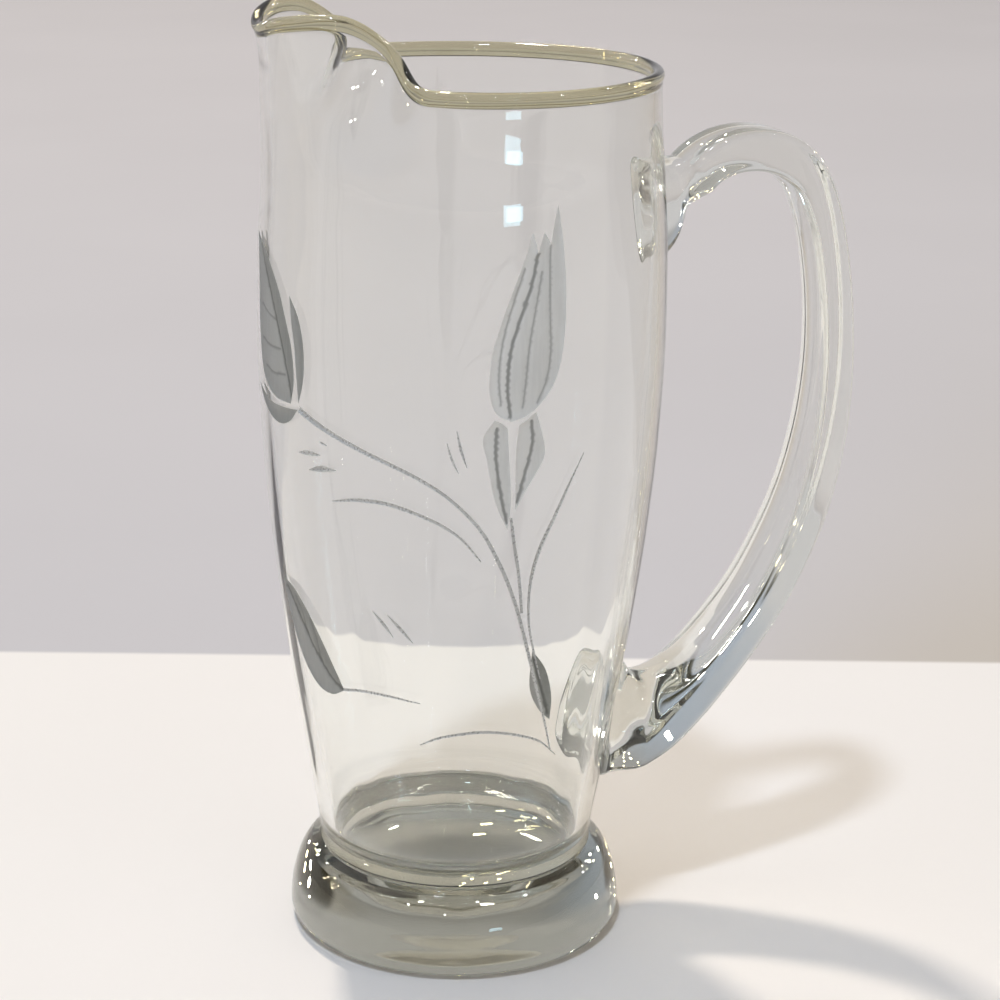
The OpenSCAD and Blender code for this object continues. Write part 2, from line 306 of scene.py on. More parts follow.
def dist_line(line, P, closed=False, reach=6.0):
    """Distance of points P from a polyline, 99 beyond reach of its box. Also the position along it."""
    d = np.full(len(P), 99.0)
    pos = np.zeros(len(P))
    lo, hi = line.min(0) - reach, line.max(0) + reach
    cand = np.where((P[:, 0] > lo[0]) & (P[:, 0] < hi[0]) & (P[:, 1] > lo[1]) & (P[:, 1] < hi[1]))[0]
    if len(cand) == 0:
        return d, pos
    p = P[cand]
    a = line
    b = np.roll(line, -1, axis=0) if closed else line[1:]
    a = a if closed else line[:-1]
    best = np.full(len(cand), 99.0)
    where = np.zeros(len(cand))
    for k in range(len(a)):
        ab = b[k] - a[k]
        L = max(ab @ ab, 1e-12)
        t = np.clip(((p - a[k]) @ ab) / L, 0, 1)
        dd = np.linalg.norm(p - (a[k] + t[:, None] * ab), axis=1)
        m = dd < best
        best[m] = dd[m]
        where[m] = (k + t)[m]
    d[cand] = best
    pos[cand] = where
    return d, pos


N_TURN = 240
Z_LO, Z_HI = 54.0, 211.5


def spray_sheet():
    """Triangulated unwrapped sheet with the outlines of the spray as edges. Returns points, triangles, face kinds (0 clear, 1 leaf, 2 line) and depths."""
    regions, stems = build_spray()
    step = 360.0 / N_TURN
    a = (-180 + step * np.arange(N_TURN + 1)) * KS
    rows = 108
    z = np.linspace(Z_LO, Z_HI, rows)
    pts, edges = [], []

    def add(line, closed=False):
        s = len(pts)
        pts.extend([(float(q[0]), float(q[1])) for q in line])
        n = len(line)
        edges.extend([(s + i, s + i + 1) for i in range(n - 1)])
        if closed:
            edges.append((s + n - 1, s))

    # border, counter-clockwise
    border = [(x, z[0]) for x in a] + [(a[-1], y) for y in z[1:]] + [(x, z[-1]) for x in a[-2::-1]] + [(a[0], y) for y in z[-2:0:-1]]
    add(border, True)
    cons = []
    for r in regions:
        add(r["loop"], True)
        cons.append((r["loop"], True))
        for b in r["ribs"]:
            add(b)
            cons.append((b, False))
    for s in stems:
        ribbon = np.vstack([s["left"], s["right"][::-1]])
        s["ribbon"] = ribbon
        add(ribbon, True)
        add(s["mid"])
        cons.append((ribbon, True))
    # free points
    gx, gz = np.meshgrid(a[1:-1], z[1:-1])
    G = np.stack([gx.ravel(), gz.ravel()], -1)
    near = np.full(len(G), 99.0)
    for c, closed in cons:
        near = np.minimum(near, dist_line(c, G, closed, 1.5)[0])
    G = G[near > 0.62]
    pts.extend(map(tuple, G.tolist()))
    # closer points inside the leaves
    for r in regions:
        lo, hi = r["loop"].min(0), r["loop"].max(0)
        hx, hz = np.meshgrid(np.arange(lo[0], hi[0], 0.85), np.arange(lo[1], hi[1], 0.85))
        hx = hx + 0.42 * (np.arange(hx.shape[0])[:, None] % 2)
        H = np.stack([hx.ravel(), hz.ravel()], -1)
        H = H[inside(r["loop"], H)]
        if len(H) == 0:
            continue
        dd = dist_line(r["loop"], H, True, 3)[0]
        for b in r["ribs"]:
            dd = np.minimum(dd, dist_line(b, H, False, 3)[0])
        g = np.full(len(H), 99.0)
        if len(G):
            lo2, hi2 = lo - 1, hi + 1
            near_g = G[(G[:, 0] > lo2[0]) & (G[:, 0] < hi2[0]) & (G[:, 1] > lo2[1]) & (G[:, 1] < hi2[1])]
            for q in near_g:
                g = np.minimum(g, np.linalg.norm(H - q, axis=1))
        pts.extend(map(tuple, H[(dd > 0.42) & (g > 0.4)].tolist()))
    out = delaunay_2d_cdt([Vector(p) for p in pts], edges, [], 0, 1e-4)
    P = np.array([(v[0], v[1]) for v in out[0]], float)
    T = np.array([f for f in out[2] if len(f) == 3], int)
    # all triangles the same way round
    A = np.cross(P[T[:, 1]] - P[T[:, 0]], P[T[:, 2]] - P[T[:, 0]])
    T[A < 0] = T[A < 0][:, ::-1]
    T = T[np.abs(A) > 1e-9]
    C = P[T].mean(1)
    kind = np.zeros(len(T), int)
    for r in regions:
        kind[inside(r["loop"], C)] = 1
    for s in stems:
        k = inside(s["ribbon"], C)
        kind[k] = 2
    depth = np.zeros(len(P))
    groove_shade = np.zeros(len(P))
    pale = np.zeros(len(P))
    for r in regions:
        lo, hi = r["loop"].min(0), r["loop"].max(0)
        ins = inside(r["loop"], P)
        if not ins.any():
            continue
        idx = np.where(ins)[0]
        d = dist_line(r["loop"], P[idx], True)[0]
        v = 0.40 * (1 - np.exp(-d / 0.9))
        pale[dist_line(r["loop"], P, True, 1.0)[0] < 0.3] = r["pale"]
        pale[idx] = r["pale"]
        if r["ribs"]:
            # painted shade: one flank of each leaf is painted lighter and the other darker, standing in for facets
            # ground at different slants that catch the light differently
            c = r["ribs"][0]
            dm, at_m = dist_line(c, P[idx], False, 40.0)
            seg = np.clip(at_m.astype(int), 0, len(c) - 2)
            ab = c[seg + 1] - c[seg]
            q = P[idx] - c[seg]
            pale[idx] += r["flank"] * np.sign(ab[:, 0] * q[:, 1] - ab[:, 1] * q[:, 0]) * (1 - np.exp(-dm / 0.5))
        # the ribs are cut into the surface, and each also gets a mark of painted shade that darkens its groove
        for n, b in enumerate(r["ribs"]):
            dr = dist_line(b, P[idx], False)[0]
            g = np.exp(-((dr / 0.42) ** 2))
            v = v + (0.30 if n == 0 else 0.20) * g * np.clip(d / 0.5, 0, 1)
            groove_shade[idx] = np.maximum(groove_shade[idx], (1.0 if n == 0 else 0.62) * g)
        depth[idx] = np.maximum(depth[idx], v)
    for s in stems:
        d, pos = dist_line(s["mid"], P, False, 2.0)
        w = np.interp(pos, np.arange(len(s["w"])), s["w"])
        v = 0.62 * np.clip(w - d, 0, None)
        depth = np.maximum(depth, v)
    return P, T, kind, depth, groove_shade, pale


def build_bowl(mats):
    P, T, kind, depth, groove_shade, pale = spray_sheet()
    a_s, z_s = P[:, 0] / KS, P[:, 1]
    right = a_s > 180 - 1e-4
    left = a_s < -180 + 1e-4
    remap = np.arange(len(P))
    lz = {round(float(z_s[i]), 3): i for i in np.where(left)[0]}
    for i in np.where(right)[0]:
        remap[i] = lz[round(float(z_s[i]), 3)]
    T = remap[T]
    kind = np.asarray(kind)
    n_out = bowl_n(a_s, z_s)
    V = bowl_p(a_s, z_s) - depth[:, None] * n_out
    analytic = n_out.copy()
    step = 360.0 / N_TURN
    turns = -180 + step * np.arange(N_TURN)

    def border_ring(zv):
        ids = np.where(np.abs(z_s - zv) < 1e-4)[0]
        ids = ids[~right[ids]]
        ids = ids[np.argsort(a_s[ids])]
        want = {round(float(a_s[i]), 3): i for i in ids}
        return [want[round(float(t), 3)] for t in turns]

    low, high = border_ring(Z_LO), border_ring(Z_HI)
    verts = [V]
    norms = [analytic]
    count = [len(V)]

    def ring(points, normals=None):
        s = count[0]
        verts.append(points)
        norms.append(np.full((len(points), 3), np.nan) if normals is None else normals)
        count[0] += len(points)
        return list(range(s, s + len(points)))

    seat_r = float(BR * pc(SHOULDER, FOOT_H / RIM))
    inner_z = FOOT_H + 7
    floor_z = FOOT_H - 10 + FLOOR_T
    inner_r = float(BR * pc(SHOULDER, inner_z / RIM)) - WALL_LOW
    rings = []
    for q in np.radians(np.linspace(0, 90, 23)[1:]):
        rings.append(ring(pt(turns, seat_r * np.sin(q), FOOT_H - 10 * np.cos(q))))
    for zz in np.linspace(FOOT_H, Z_LO, 16)[1:-1]:
        rings.append(ring(bowl_p(turns, zz), bowl_n(turns, zz)))
    lower = rings + [low]
    top = rim_z(turns) - BEAD
    e = top - 2.2
    rings = [high]
    for s in np.linspace(0, 1, 27)[1:]:
        zz = Z_HI + (e - Z_HI) * (1 - (1 - s) ** 1.2)
        rings.append(ring(bowl_p(turns, zz)))
    n, u = bowl_n(turns, top), bowl_up(turns, top)
    c = bowl_p(turns, top) - n * WALL / 2
    # fire-polished bead, a little uneven round the rim
    rad = BEAD * (1 - 0.018 - 0.018 * np.sin(np.radians(3 * turns + 20)) * np.sin(np.radians(7 * turns)))
    for q in np.radians(np.linspace(-38, 218, 21)):
        rings.append(ring(c + rad[:, None] * (np.cos(q) * n + np.sin(q) * u)))
    for s in np.linspace(0, 1, 66):
        zz = e + (inner_z - e) * s
        # blown walls: the inside runs in faint upright waves
        wave = 0.050 * np.sin(np.radians(11 * turns + 40 + 0.10 * zz)) + 0.036 * np.sin(np.radians(17 * turns - 0.16 * zz)) + 0.020 * np.sin(np.radians(29 * turns + 0.3 * zz))
        w = wall_at(zz) + wave * float(ss(0, 0.12, s) * (1 - ss(0.86, 1.0, s)))
        rings.append(ring(bowl_p(turns, zz) - w[:, None] * bowl_n(turns, zz)))
    for q in np.radians(np.linspace(90, 0, 20)[1:-1]):
        rings.append(ring(pt(turns, inner_r * np.sin(q), inner_z - (inner_z - floor_z) * np.cos(q))))
    pole_lo = ring(np.array([[0, 0, FOOT_H - 10.0]]))[0]
    pole_hi = ring(np.array([[0, 0, floor_z]]))[0]
    V = np.vstack(verts)
    ana = np.vstack(norms)
    faces = [tuple(t[::-1]) for t in T.tolist()]
    # the front bud and its sepals are ground finer than the other leaves
    kinds = [4 if k == 1 and pale[list(t)].max() > 0.43 else k for k, t in zip(kind.tolist(), T.tolist())]
    q = ring_faces(lower)
    faces += q
    kinds += [0] * len(q)
    q = ring_faces(rings)
    faces += q
    # the thick fire-polished bead has its own material
    kinds += [3 if 26 <= i // N_TURN <= 47 else 0 for i in range(len(q))]
    nb = N_TURN
    for i in range(nb):
        faces.append((pole_lo, lower[0][i], lower[0][(i + 1) % nb]))
        faces.append((rings[-1][i], pole_hi, rings[-1][(i + 1) % nb]))
        kinds += [0, 0]
    # drop vertices that nothing uses
    used = np.zeros(len(V), bool)
    for f in faces:
        for i in f:
            used[i] = True
    new = np.cumsum(used) - 1
    groove_shade = np.r_[groove_shade, np.zeros(len(V) - len(groove_shade))][used]
    pale = np.r_[pale, np.zeros(len(V) - len(pale))][used]
    V, ana = V[used], ana[used]
    faces = [tuple(int(new[i]) for i in f) for f in faces]
    kinds = np.array(kinds)
    fn = face_normals(V, faces)
    vol = sum(float(V[f[0]] @ fn[k]) for k, f in enumerate(faces)) / 3
    assert vol > 0, vol
    groups = ((kinds == 1) | (kinds == 2) | (kinds == 4)).astype(int)
    vn = np.zeros((2, len(V), 3))
    for k, f in enumerate(faces):
        for i in f:
            vn[groups[k], i] += fn[k]
    has = ~np.isnan(ana[:, 0])
    vn[0][has] = ana[has]
    ln = np.linalg.norm(vn, axis=2, keepdims=True)
    vn = vn / np.where(ln > 0, ln, 1)
    loops = np.array([vn[groups[k], i] for k, f in enumerate(faces) for i in f])
    return make_mesh("bowl_glass", V, faces, mats, kinds, loops, {"groove_shade": groove_shade, "pale": pale})


# ------------------------------------------------------------------ foot
def build_foot(mat):
    seat_r = float(BR * pc(SHOULDER, FOOT_H / RIM))
    u = np.concatenate([[0.004, 0.014], np.linspace(0.03, 0.94, 46)])
    side = [(FOOT_R * float(pc(CUSHION, t)), t * FOOT_H) for t in u]
    under = [(r, 0.0) for r in (4, 10, 16, 22, 28, 34, 38, 40.4, 41.6, 42.1)]
    neck = [(seat_r + 0.9, FOOT_H - 0.75), (seat_r + 0.35, FOOT_H - 0.3), (seat_r - FUSE, FOOT_H + 0.02)]
    seat = [((seat_r - FUSE) * math.sin(q), FOOT_H - (10 - FUSE) * math.cos(q)) for q in np.radians(np.linspace(90, 0, 24)[1:-1])]
    prof = under + [(42.26, 0.03)] + side + neck + seat
    n = 256
    ang = 360 * np.arange(n) / n
    V = [np.array([[0, 0, 0.0]])]
    rings, s = [], 1
    for r, z in prof:
        V.append(pt(ang, r, np.full(n, z)))
        rings.append(list(range(s, s + n)))
        s += n
    V.append(np.array([[0, 0, FOOT_H - (10 - FUSE)]]))
    V = np.vstack(V)
    faces = ring_faces(rings)
    for i in range(n):
        faces.append((0, rings[0][i], rings[0][(i + 1) % n]))
        faces.append((rings[-1][i], s, rings[-1][(i + 1) % n]))
    fn = face_normals(V, faces)
    assert sum(float(V[f[0]] @ fn[k]) for k, f in enumerate(faces)) > 0
    return make_mesh("foot_glass", V, faces, [mat])


# ------------------------------------------------------------------ handle
LOW_ROOT = [(0, 46.5, 14.5, 30.5, 17, 0.60), (1.2, 46.5, 14.4, 29.8, 16.4, 0.54), (3, 46.8, 14.2, 29, 15.2, 0.47)]
TOP_ROOT = [(7.6, 203.8, 11, 17.6, 3.2, 0.56), (7, 203.5, 11.6, 17.8, 6, 0.62), (5.7, 203, 12.4, 18.2, 9.6, 0.7),
         (3.5, 202.6, 13, 18.6, 12, 0.78), (1.2, 202.4, 13.4, 19, 13.2, 0.8), (0, 202.4, 13.8, 19.6, 13.8, 0.8)]
STRAP = [(50, 47.8, 4, 14, 28.4, 13.4), (56.5, 51.1, 20, 12.8, 27, 9), (64.1, 57.8, 37, 11.2, 26.2, 4.8),
         (71.1, 64.9, 46, 10, 25.4, 2.2), (79.7, 75.3, 54, 9.5, 24.6, 1.2), (87.9, 87.2, 61, 9.4, 23.8, 0.9),
         (94.9, 101, 68, 9.4, 22.8, 0.8), (99.2, 112, 72, 9.4, 22, 0.7), (102.1, 122.5, 77, 9.3, 21, 0.7),
         (104.2, 134, 82, 9.2, 20, 0.6), (105.3, 146, 87, 9, 18.8, 0.6), (105.4, 158, 92, 8.8, 17.8, 0.6),
         (104.4, 171.5, 96, 8.7, 17.2, 0.6), (102.1, 185.5, 102, 8.7, 17, 0.6), (99.2, 195.8, 114, 9.2, 17, 0.6),
         (95, 204.1, 132, 10, 17, 0.6), (88, 209.6, 158, 11, 17, 0.6), (80, 211.6, 177, 11, 17, 0.6),
         (72.4, 210.9, 193, 10.8, 17, 0.7), (66.8, 208.6, 209, 10.6, 17.2, 1.1), (63.4, 205.9, 220, 10.4, 17.4, 1.6)]
SIDES = 96


def at(table, col, u):
    i = min(int(u), len(table) - 2)
    s = u - i
    v = [table[min(max(i + k, 0), len(table) - 1)][col] for k in (-1, 0, 1, 2)]
    a, b, c, d = v
    return 0.5 * (2 * b + (c - a) * s + (2 * a - 5 * b + 4 * c - d) * s * s + (3 * b - a - 3 * c + d) * s**3)


def pw(x, e):
    return np.sign(x) * np.abs(x) ** e


def sec(t, w, c, e=0.5):
    """Rounded strap outline with evenly spaced points: b across the strap, n towards the finger gap."""
    q = np.radians(np.linspace(0, 360, 1441))
    tight = np.where(np.sin(q) > 0, 0.62, 0.78)      # the edge beside the crowned face is tighter than the other
    b = 0.5 * w * pw(np.cos(q), e * tight)
    k = np.minimum(1, np.abs(2 * b / w))
    n = 0.5 * t * pw(np.sin(q), e * tight) + c * (1 - k * k) * ss(-0.1, 0.8, np.sin(q))
    s = np.r_[0, np.cumsum(np.hypot(np.diff(b), np.diff(n)))]
    half = s[720]
    m = SIDES // 2
    g = np.concatenate([np.linspace(0, half, m, endpoint=False), np.linspace(half, s[-1], m, endpoint=False)])
    return np.interp(g, s, b), np.interp(g, s, n)


def root_ring(r, down, f=1.0, gap=None):
    b, n = sec(r[2], r[3], r[4], r[5])
    g = r[0] if gap is None else gap
    z = r[1] - down * n * f
    b = b * f
    a = 180 - np.degrees(np.arcsin(b / (bowl_r(180, z) + g)))
    return bowl_p(a, z) + np.array([g, 0, 0])


def soft(u):
    """Squareness of the strap: tight corners low down, softer towards the upper root."""
    return float(0.26 + 0.14 * (1 - ss(0, 2.5, u)) + 0.08 * ss(7, 13, u) + 0.2 * ss(16.5, 20, u))


def strap_ring(u):
    x, z, h = at(STRAP, 0, u), at(STRAP, 1, u), math.radians(at(STRAP, 2, u))
    b, n = sec(at(STRAP, 3, u), at(STRAP, 4, u), at(STRAP, 5, u), soft(u))
    return np.stack([x - n * math.sin(h), b, z + n * math.cos(h)], -1)


def build_handle(mat):
    ctrl = [root_ring((0, 46.5, 14.7, 31.0, 17.2, 0.6), -1, gap=-FUSE)]
    ctrl += [root_ring((0.45, 46.5, 14.5, 30.0, 16.8, 0.6), -1)]
    ctrl += [root_ring(r, -1) for r in LOW_ROOT[1:]]
    ctrl += [strap_ring(i / 2) for i in range(2 * (len(STRAP) - 1) + 1)]
    ctrl += [root_ring(r, 1) for r in TOP_ROOT[:-1]]
    ctrl += [root_ring((0.4, 202.4, 13.6, 19.4, 13.6, 0.8), 1), root_ring((0, 202.4, 14.0, 19.9, 14.0, 0.8), 1, gap=-FUSE)]
    C = np.array(ctrl)
    rings = []
    sub = 4
    for i in range(len(C) - 1):
        a = C[max(i - 1, 0)]
        b, c = C[i], C[i + 1]
        d = C[min(i + 2, len(C) - 1)]
        # tangents scaled to this step, so uneven ring spacing can't overshoot
        lb = np.linalg.norm(c - b, axis=1, keepdims=True)
        la = np.linalg.norm(b - a, axis=1, keepdims=True) + 1e-9
        ld = np.linalg.norm(d - c, axis=1, keepdims=True) + 1e-9
        tb = ((b - a) / la * lb + (c - b) / lb * la) / (la + lb) * lb if i > 0 else c - b
        tc = ((c - b) / lb * ld + (d - c) / ld * lb) / (lb + ld) * lb if i < len(C) - 2 else c - b
        for k in range(sub):
            s = k / sub
            rings.append((2 * s**3 - 3 * s**2 + 1) * b + (s**3 - 2 * s**2 + s) * tb + (3 * s**2 - 2 * s**3) * c + (s**3 - s**2) * tc)
    rings.append(C[-1])
    lo_cap = [root_ring((0, 46.5, 14.7, 31.0, 17.2, 0.6), -1, f, -FUSE) for f in (0.2, 0.4, 0.6, 0.8, 0.93)]
    hi_cap = [root_ring((0, 202.4, 14.0, 19.9, 14.0, 0.8), 1, f, -FUSE) for f in (0.93, 0.8, 0.6, 0.4, 0.2)]
    allr = lo_cap + rings + hi_cap
    V = np.vstack(allr + [bowl_p(np.array([180.0]), np.array([46.5])) - [FUSE, 0, 0], bowl_p(np.array([180.0]), np.array([202.4])) - [FUSE, 0, 0]])
    idx = [list(range(k * SIDES, (k + 1) * SIDES)) for k in range(len(allr))]
    faces = ring_faces(idx)
    p0, p1 = len(V) - 2, len(V) - 1
    for i in range(SIDES):
        j = (i + 1) % SIDES
        faces.append((p0, idx[0][i], idx[0][j]))
        faces.append((idx[-1][i], p1, idx[-1][j]))
    fn = face_normals(V, faces)
    if sum(float(V[f[0]] @ fn[k]) for k, f in enumerate(faces)) < 0:
        faces = [f[::-1] for f in faces]
    return make_mesh("handle_glass", V, faces, [mat])


# ------------------------------------------------------------------ materials
ABSORB = (0.62, 0.63, 0.50, 1.0)
ABSORB_DENSITY = 12.0


class Nodes:
    """Small helper for node trees."""

    def __init__(self, name):
        self.mat = bpy.data.materials.new(name)
        self.mat.use_nodes = True
        self.nt = self.mat.node_tree
        self.nt.nodes.clear()
        self.out = self.nt.nodes.new("ShaderNodeOutputMaterial")

    def new(self, kind, **props):
        n = self.nt.nodes.new(kind)
        for k, v in props.items():
            setattr(n, k, v)
        return n

    def link(self, a, b):
        self.nt.links.new(a, b)

    def math(self, op, a, b=None, c=None, clamp=False):
        n = self.new("ShaderNodeMath", operation=op, use_clamp=clamp)
        for i, v in enumerate((a, b, c)):
            if v is None:
                continue
            if isinstance(v, (int, float)):
                n.inputs[i].default_value = v
            else:
                self.link(v, n.inputs[i])
        return n.outputs[0]

    def noise(self, vec, scale, detail=2.0, rough=0.5, distortion=0.0):
        n = self.new("ShaderNodeTexNoise")
        self.link(vec, n.inputs["Vector"])
        n.inputs["Scale"].default_value = scale
        n.inputs["Detail"].default_value = detail
        n.inputs["Roughness"].default_value = rough
        n.inputs["Distortion"].default_value = distortion
        return n.outputs["Fac"]

    def stretch(self, vec, s):
        n = self.new("ShaderNodeMapping")
        self.link(vec, n.inputs["Vector"])
        n.inputs["Scale"].default_value = s
        return n.outputs[0]

    def ramp(self, v, lo, hi, a, b):
        n = self.new("ShaderNodeMapRange", interpolation_type="SMOOTHSTEP")
        self.link(v, n.inputs["Value"])
        for k, x in zip(("From Min", "From Max", "To Min", "To Max"), (lo, hi, a, b)):
            n.inputs[k].default_value = x
        return n.outputs[0]

    def bump(self, height, strength, distance, normal=None):
        n = self.new("ShaderNodeBump")
        n.inputs["Strength"].default_value = strength
        n.inputs["Distance"].default_value = distance
        self.link(height, n.inputs["Height"])
        if normal is not None:
            self.link(normal, n.inputs["Normal"])
        return n.outputs[0]


def glass(name, wave_scale, wave_stretch, wave_depth, fine_stretch, fine_depth, rough=(0.0, 0.03), tint=(0.985, 0.993, 0.985), absorb=ABSORB, density=ABSORB_DENSITY):
    """Clear soda glass: long soft waves from blowing or drawing, fine streaks, and wipe marks in the roughness."""
    k = Nodes(name)
    co = k.new("ShaderNodeTexCoord").outputs["Object"]
    p = k.new("ShaderNodeBsdfPrincipled")
    p.inputs["Base Color"].default_value = tint + (1,)
    p.inputs["Transmission Weight"].default_value = 1.0
    p.inputs["IOR"].default_value = 1.52
    wipe = k.noise(k.stretch(co, (1.0, 1.0, 2.2)), 26.0, 5.0, 0.62, 0.6)
    spots = k.noise(co, 210.0, 2.0, 0.5)
    r = k.math("MULTIPLY", k.ramp(wipe, 0.50, 0.74, 0.0, 1.0), k.ramp(spots, 0.35, 0.75, 0.45, 1.0))
    r = k.math("MULTIPLY_ADD", r, rough[1] - rough[0], rough[0])
    k.link(r, p.inputs["Roughness"])
    wave = k.noise(k.stretch(co, wave_stretch), wave_scale, 2.0, 0.45)
    n1 = k.bump(wave, 1.0, wave_depth)
    if fine_depth:
        fine = k.noise(k.stretch(co, fine_stretch), 60.0, 3.0, 0.6)
        n1 = k.bump(fine, 1.0, fine_depth, n1)
    k.link(n1, p.inputs["Normal"])
    k.link(p.outputs[0], k.out.inputs["Surface"])
    v = k.new("ShaderNodeVolumeAbsorption")
    v.inputs["Color"].default_value = absorb
    v.inputs["Density"].default_value = density
    k.link(v.outputs[0], k.out.inputs["Volume"])
    return k.mat


def cut_glass(name, colour, rough, transmission, grain):
    """Wheel-cut glass: matte ground surface with fine grinding lines, lighter on the grain, with painted shade
    darkening the grooves.
    """
    k = Nodes(name)
    co = k.new("ShaderNodeTexCoord").outputs["Object"]
    p = k.new("ShaderNodeBsdfPrincipled")
    p.inputs["Transmission Weight"].default_value = transmission
    p.inputs["IOR"].default_value = 1.52
    lines = k.noise(k.stretch(co, (1.0, 1.0, 0.10)), 1100.0, 3.0, 0.6, 0.3)
    speck = k.noise(co, 1400.0, 2.0, 0.5)
    cloud = k.noise(k.stretch(co, (1.0, 1.0, 0.5)), 75.0, 3.0, 0.55)
    mix = k.new("ShaderNodeMix", data_type="RGBA")
    f = k.math("ADD", k.math("MULTIPLY", k.ramp(lines, 0.35, 0.68, 0.0, 1.0), 0.5), k.math("MULTIPLY", k.ramp(cloud, 0.35, 0.7, 0.0, 1.0), 0.5))
    k.link(f, mix.inputs[0])
    mix.inputs[6].default_value = tuple(c * 0.84 for c in colour) + (1,)
    mix.inputs[7].default_value = tuple(min(1, c * 1.10) for c in colour) + (1,)
    # painted shade: the rib grooves are painted darker
    groove_shade = k.new("ShaderNodeAttribute", attribute_type="GEOMETRY", attribute_name="groove_shade").outputs["Fac"]
    groove_shade_mix = k.new("ShaderNodeMix", data_type="RGBA")
    k.link(k.ramp(groove_shade, 0.12, 0.85, 0.0, 0.9), groove_shade_mix.inputs[0])
    # the front bud is cut less deep than the rest and stays lighter; the same mark also carries the painted shade of
    # the leaf flanks
    soft = k.new("ShaderNodeAttribute", attribute_type="GEOMETRY", attribute_name="pale").outputs["Fac"]
    light = k.new("ShaderNodeMix", data_type="RGBA")
    k.link(soft, light.inputs[0])
    k.link(mix.outputs[2], light.inputs[6])
    light.inputs[7].default_value = (0.97, 0.975, 0.95, 1)
    k.link(light.outputs[2], groove_shade_mix.inputs[6])
    groove_shade_mix.inputs[7].default_value = tuple(c * 0.42 for c in colour) + (1,)
    k.link(groove_shade_mix.outputs[2], p.inputs["Base Color"])
    r = k.math("MULTIPLY_ADD", k.ramp(speck, 0.3, 0.7, -1.0, 1.0), 0.06, rough)
    k.link(r, p.inputs["Roughness"])
    h = k.math("ADD", k.math("MULTIPLY", lines, 0.7), k.math("MULTIPLY", speck, 0.5))
    k.link(k.bump(h, 1.0, grain), p.inputs["Normal"])
    k.link(p.outputs[0], k.out.inputs["Surface"])
    v = k.new("ShaderNodeVolumeAbsorption")
    v.inputs["Color"].default_value = ABSORB
    v.inputs["Density"].default_value = ABSORB_DENSITY
    k.link(v.outputs[0], k.out.inputs["Volume"])
    return k.mat


bowl_mat = glass("bowl_clear", 11.0, (1.0, 1.0, 0.55), 0.00022, (1.0, 1.0, 0.12), 0.000003, (0.0, 0.02))
# the foot's denser absorption is partly the thick glass's own tint and partly painted shade, standing in for the dark
# room seen in it
foot_mat = glass("foot_clear", 24.0, (1.0, 1.0, 1.3), 0.00034, (0.5, 0.5, 1.0), 0.0, (0.0, 0.004), absorb=(0.62, 0.615, 0.53, 1.0), density=20.0)
handle_mat = glass("handle_clear", 18.0, (0.5, 1.0, 0.5), 0.00010, (0.25, 1.6, 0.25), 0.0, (0.0, 0.012))
leaf_mat = cut_glass("cut_leaf", (0.44, 0.455, 0.425), 0.45, 0.55, 0.00003)
fine_leaf_mat = cut_glass("cut_leaf_fine", (0.76, 0.77, 0.74), 0.50, 0.30, 0.00003)
line_mat = cut_glass("cut_line", (0.90, 0.905, 0.89), 0.30, 0.45, 0.00002)

# the bead's olive tint is partly the glass's own colour seen edge-on and partly painted shade, darkened for the dark
# room seen in it
rim_mat = glass("rim_clear", 60.0, (1.0, 1.0, 1.0), 0.00012, (1.0, 1.0, 0.5), 0.0, (0.0, 0.01), tint=(0.64, 0.60, 0.42))

bowl_ob = build_bowl([bowl_mat, leaf_mat, line_mat, rim_mat, fine_leaf_mat])
foot_ob = build_foot(foot_mat)
handle_ob = build_handle(handle_mat)

for ob, node in ((bowl_ob, "bowl"), (foot_ob, "foot"), (handle_ob, "handle")):
    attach(ob, "root")
    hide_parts(node)

# ------------------------------------------------------------------ floor
AWAY = (0.309017, 0.951057)      # away from the camera, along the floor
RIGHT = (0.951057, -0.309017)


